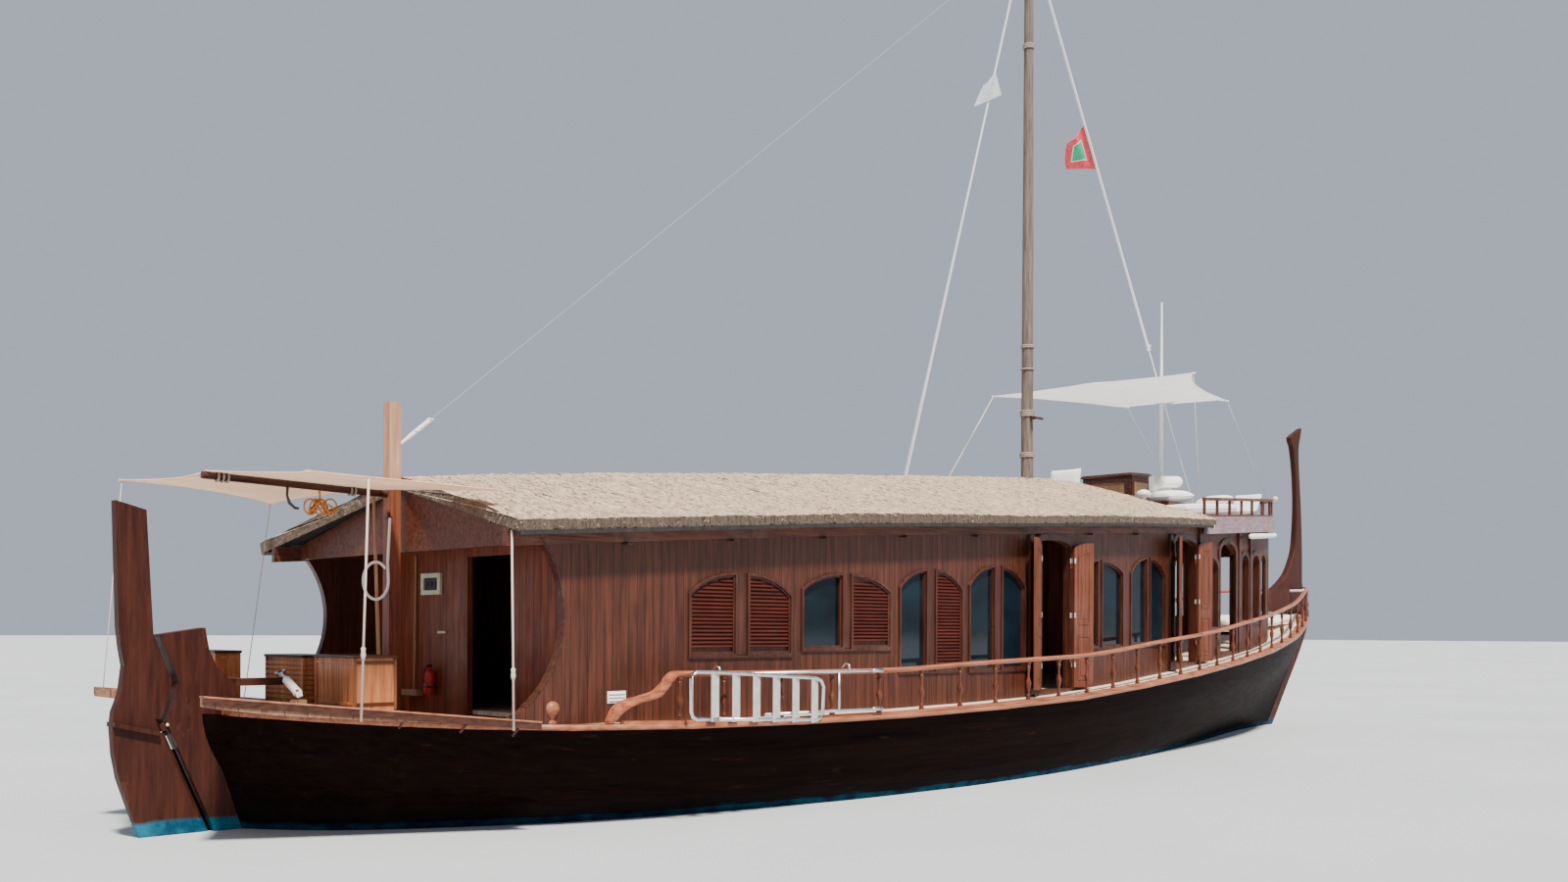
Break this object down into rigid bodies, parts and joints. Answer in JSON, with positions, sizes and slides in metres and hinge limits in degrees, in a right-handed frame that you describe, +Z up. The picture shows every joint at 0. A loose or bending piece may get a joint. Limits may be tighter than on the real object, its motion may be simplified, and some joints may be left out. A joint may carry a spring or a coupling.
{
  "type": "dhoni motor yacht",
  "caption": "Wooden motor yacht afloat, with a raked hung rudder, thatched deckhouse, open flybridge with awning, pole mast and tall curved prow.",
  "frame": {"origin": "foot of the sternpost at the waterline, on the centreline", "axes": "+X towards the bow, +Y to port, +Z up"},
  "size_m": [20.841, 5.1516, 12.55],
  "materials": {
    "hull": "semi-gloss black-brown paint over planks",
    "varnish": "red-brown varnish",
    "pale_timber": "bare weathered timber",
    "deck_boards": "scrubbed boards",
    "thatch": "weathered grey thatch",
    "grey_paint": "purple-grey paint on timber",
    "glass": "dark window glass",
    "sailcloth": "white cloth",
    "tan_canvas": "tan canvas",
    "white_paint": "white gloss paint",
    "rope": "off-white rope",
    "aluminium": "plain extruded aluminium",
    "polished_steel": "polished rod",
    "bronze": "dull bronze",
    "iron": "painted iron",
    "mast_wood": "weathered grey-brown pole"
  },
  "bodies": {
    "boat": {"hull": "hull", "keel": "hull", "stem_post": "varnish", "sternpost": "varnish", "gunwale_port": "varnish", "gunwale_starboard": "varnish", "locker_starboard": "varnish", "locker_port": "varnish", "locker_quarter": "varnish", "roof_frame": "varnish", "side_wall_aft_port": "varnish", "side_wall_aft_starboard": "varnish", "side_wall_mid_port": "varnish", "side_wall_mid_starboard": "varnish", "side_wall_fore_port": "varnish", "side_wall_fore_starboard": "varnish", "front_wall": "varnish", "aft_bulkhead": "varnish", "backstay_post": "varnish", "helm_console": "varnish", "awning_spar": "varnish", "rail_port": "varnish", "rail_starboard": "varnish", "flybridge_rail": "varnish", "stern_platform": "pale_timber", "main_deck": "deck_boards", "cockpit_sole": "deck_boards", "roof_thatch": "thatch", "flybridge_deck": "grey_paint", "glazing_aft_port": "glass", "glazing_aft_starboard": "glass", "glazing_fore_port": "glass", "glazing_fore_starboard": "glass", "helm_seat": "sailcloth", "settee": "sailcloth", "sun_bed": "sailcloth", "forward_awning": "sailcloth", "aft_awning": "tan_canvas", "signal_pole": "white_paint", "bow_bar": "white_paint", "standing_rigging": "rope", "boarding_ladder": "aluminium", "stern_tube": "bronze", "engine_block": "iron", "mast": "mast_wood"},
    "rudder": {"rudder_blade": "varnish", "tiller_arm": "varnish"},
    "ram_barrel": {"steering_cylinder": "white_paint"},
    "ram_rod": {"steering_rod": "polished_steel"},
    "propeller": {"propeller": "bronze"},
    "door_mid_aft_port": {"door_mid_aft_port": "varnish"},
    "door_mid_aft_starboard": {"door_mid_aft_starboard": "varnish"},
    "door_mid_fore_port": {"door_mid_fore_port": "varnish"},
    "door_mid_fore_starboard": {"door_mid_fore_starboard": "varnish"},
    "door_fore_aft_port": {"door_fore_aft_port": "varnish"},
    "door_fore_aft_starboard": {"door_fore_aft_starboard": "varnish"},
    "door_fore_fore_port": {"door_fore_fore_port": "varnish"},
    "door_fore_fore_starboard": {"door_fore_fore_starboard": "varnish"}
  },
  "joints": [
    {"name": "rudder_turn", "type": "hinge", "parent": "boat", "child": "rudder", "pos_m": [0, 0, 0], "axis": [-0.394, 0, 0.9191], "range_deg": [-15, 15]},
    {"name": "ram_swing", "type": "hinge", "parent": "boat", "child": "ram_barrel", "pos_m": [0.31, -0.9, 1.105], "axis": [-0.394, 0, 0.9191], "range_deg": [-5.3, 5.3]},
    {"name": "ram_slide", "type": "slide", "parent": "ram_barrel", "child": "ram_rod", "axis": [0.2943, 0.9459, 0.1366], "range_m": [-0.257, 0.257]},
    {"name": "propeller_spin", "type": "hinge", "parent": "boat", "child": "propeller", "pos_m": [0.455, 0, -0.6], "axis": [1, 0, 0], "continuous": true},
    {"name": "door_mid_aft_port_hinge", "type": "hinge", "parent": "boat", "child": "door_mid_aft_port", "pos_m": [8.54, 2.00355, 1.5], "axis": [0, 0, 1], "range_deg": [-158, 17]},
    {"name": "door_mid_aft_starboard_hinge", "type": "hinge", "parent": "boat", "child": "door_mid_aft_starboard", "pos_m": [8.54, -2.00355, 1.5], "axis": [0, 0, 1], "range_deg": [-17, 158]},
    {"name": "door_mid_fore_port_hinge", "type": "hinge", "parent": "boat", "child": "door_mid_fore_port", "pos_m": [9.27, 1.9634, 1.5], "axis": [0, 0, 1], "range_deg": [-5, 170]},
    {"name": "door_mid_fore_starboard_hinge", "type": "hinge", "parent": "boat", "child": "door_mid_fore_starboard", "pos_m": [9.27, -1.9634, 1.5], "axis": [0, 0, 1], "range_deg": [-170, 5]},
    {"name": "door_fore_aft_port_hinge", "type": "hinge", "parent": "boat", "child": "door_fore_aft_port", "pos_m": [12.18, 1.71371, 1.5], "axis": [0, 0, 1], "range_deg": [-152, 23]},
    {"name": "door_fore_aft_starboard_hinge", "type": "hinge", "parent": "boat", "child": "door_fore_aft_starboard", "pos_m": [12.18, -1.71371, 1.5], "axis": [0, 0, 1], "range_deg": [-23, 152]},
    {"name": "door_fore_fore_port_hinge", "type": "hinge", "parent": "boat", "child": "door_fore_fore_port", "pos_m": [12.89, 1.62581, 1.5], "axis": [0, 0, 1], "range_deg": [-7, 168]},
    {"name": "door_fore_fore_starboard_hinge", "type": "hinge", "parent": "boat", "child": "door_fore_fore_starboard", "pos_m": [12.89, -1.62581, 1.5], "axis": [0, 0, 1], "range_deg": [-168, 7]}
  ],
  "couplings": [
    {"joint": "ram_swing", "follows": "rudder_turn", "ratio": 0.33824},
    {"joint": "ram_slide", "follows": "rudder_turn", "m_per_rad": 0.96964}
  ]
}
